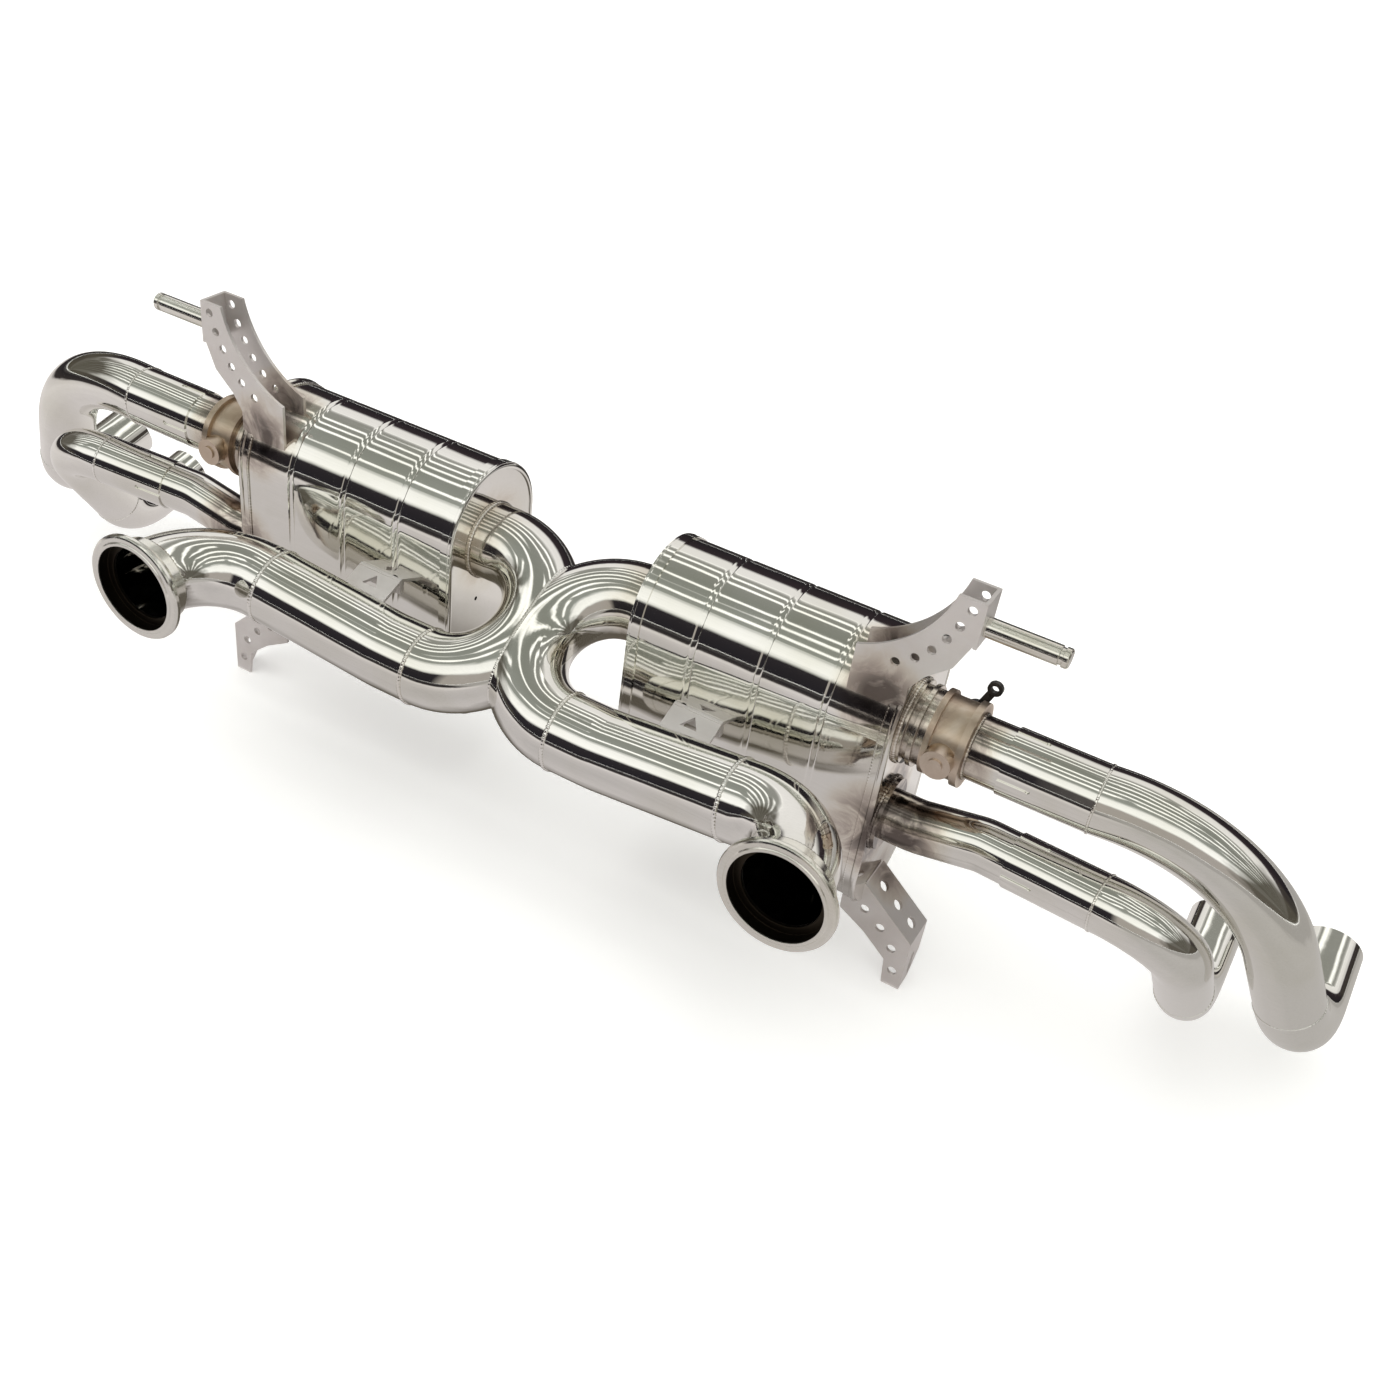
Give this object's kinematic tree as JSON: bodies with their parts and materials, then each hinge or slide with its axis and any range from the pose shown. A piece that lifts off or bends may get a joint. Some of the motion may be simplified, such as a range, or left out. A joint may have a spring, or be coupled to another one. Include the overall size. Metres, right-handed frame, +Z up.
{
  "type": "racing exhaust system",
  "caption": "Mirror-polished rear exhaust with paired oval mufflers, V-band inlets, a U-bend crossover, butterfly valves on the upper outlets, slip joints and turned-up tail pipes.",
  "frame": {"origin": "middle of the bounding box footprint, at the height of the lower brackets' bottom edges", "axes": "+X towards the right-hand side of the car, +Y towards the rear where the tail pipes leave, +Z up"},
  "size_m": [1.451, 0.362, 0.417],
  "materials": {
    "polished_stainless": "mirror polished stainless sheet and tube with weld beads",
    "plain_stainless": "mill finish",
    "machined_stainless": "turned, polished",
    "satin_stainless": "satin sheet with heat tint beside the welds",
    "cast_stainless": "fine cast skin, satin, heat tinted",
    "bush_bronze": "plain",
    "black_steel": "black oxide",
    "glass_wool": "packed glass wool"
  },
  "bodies": {
    "exhaust": {"muffler_shell_right": "polished_stainless", "inner_end_cap_right": "polished_stainless", "outer_end_cap_right": "polished_stainless", "baffle_plates_right": "plain_stainless", "core_tube_right": "plain_stainless", "return_tube_right": "plain_stainless", "packing_right": "glass_wool", "inlet_flange_right": "machined_stainless", "inlet_pipe_right": "polished_stainless", "u_bend_right": "polished_stainless", "support_tab_right": "satin_stainless", "hanger_bracket_right": "satin_stainless", "hanger_pin_right": "machined_stainless", "lower_bracket_right": "satin_stainless", "valve_adapter_right": "machined_stainless", "valve_body_right": "cast_stainless", "valve_bushes_right": "bush_bronze", "valve_cap_right": "cast_stainless", "upper_stub_right": "polished_stainless", "lower_stub_right": "polished_stainless", "muffler_shell_left": "polished_stainless", "inner_end_cap_left": "polished_stainless", "outer_end_cap_left": "polished_stainless", "baffle_plates_left": "plain_stainless", "core_tube_left": "plain_stainless", "return_tube_left": "plain_stainless", "packing_left": "glass_wool", "inlet_flange_left": "machined_stainless", "inlet_pipe_left": "polished_stainless", "u_bend_left": "polished_stainless", "support_tab_left": "satin_stainless", "hanger_bracket_left": "satin_stainless", "hanger_pin_left": "machined_stainless", "lower_bracket_left": "satin_stainless", "valve_adapter_left": "machined_stainless", "valve_body_left": "cast_stainless", "valve_bushes_left": "bush_bronze", "valve_cap_left": "cast_stainless", "upper_stub_left": "polished_stainless", "lower_stub_left": "polished_stainless"},
    "valve_right": {"valve_shaft_right": "machined_stainless", "valve_disc_right": "plain_stainless", "disc_screws_right": "machined_stainless", "valve_lever_right": "black_steel"},
    "upper_tail_right": {"upper_sleeve_right": "polished_stainless", "upper_tail_pipe_right": "polished_stainless", "upper_tip_elbow_right": "polished_stainless"},
    "lower_tail_right": {"lower_sleeve_right": "polished_stainless", "lower_tail_pipe_right": "polished_stainless", "lower_tip_elbow_right": "polished_stainless"},
    "valve_left": {"valve_shaft_left": "machined_stainless", "valve_disc_left": "plain_stainless", "disc_screws_left": "machined_stainless", "valve_lever_left": "black_steel"},
    "upper_tail_left": {"upper_sleeve_left": "polished_stainless", "upper_tail_pipe_left": "polished_stainless", "upper_tip_elbow_left": "polished_stainless"},
    "lower_tail_left": {"lower_sleeve_left": "polished_stainless", "lower_tail_pipe_left": "polished_stainless", "lower_tip_elbow_left": "polished_stainless"}
  },
  "joints": [
    {"name": "valve_turn_right", "type": "hinge", "parent": "exhaust", "child": "valve_right", "pos_m": [0.3685, 0.01404, 0.272], "axis": [0, 1, 0], "range_deg": [0, 90]},
    {"name": "upper_slip_right", "type": "slide", "parent": "exhaust", "child": "upper_tail_right", "axis": [1, 0, 0], "range_m": [-0.01, 0.01]},
    {"name": "lower_slip_right", "type": "slide", "parent": "exhaust", "child": "lower_tail_right", "axis": [0.9868, -0.1466, 0.0684], "range_m": [-0.01, 0.01]},
    {"name": "valve_turn_left", "type": "hinge", "parent": "exhaust", "child": "valve_left", "pos_m": [-0.3685, 0.01404, 0.272], "axis": [0, -1, 0], "range_deg": [0, 90]},
    {"name": "upper_slip_left", "type": "slide", "parent": "exhaust", "child": "upper_tail_left", "axis": [-1, 0, 0], "range_m": [-0.01, 0.01]},
    {"name": "lower_slip_left", "type": "slide", "parent": "exhaust", "child": "lower_tail_left", "axis": [-0.9868, -0.1466, 0.0684], "range_m": [-0.01, 0.01]}
  ]
}
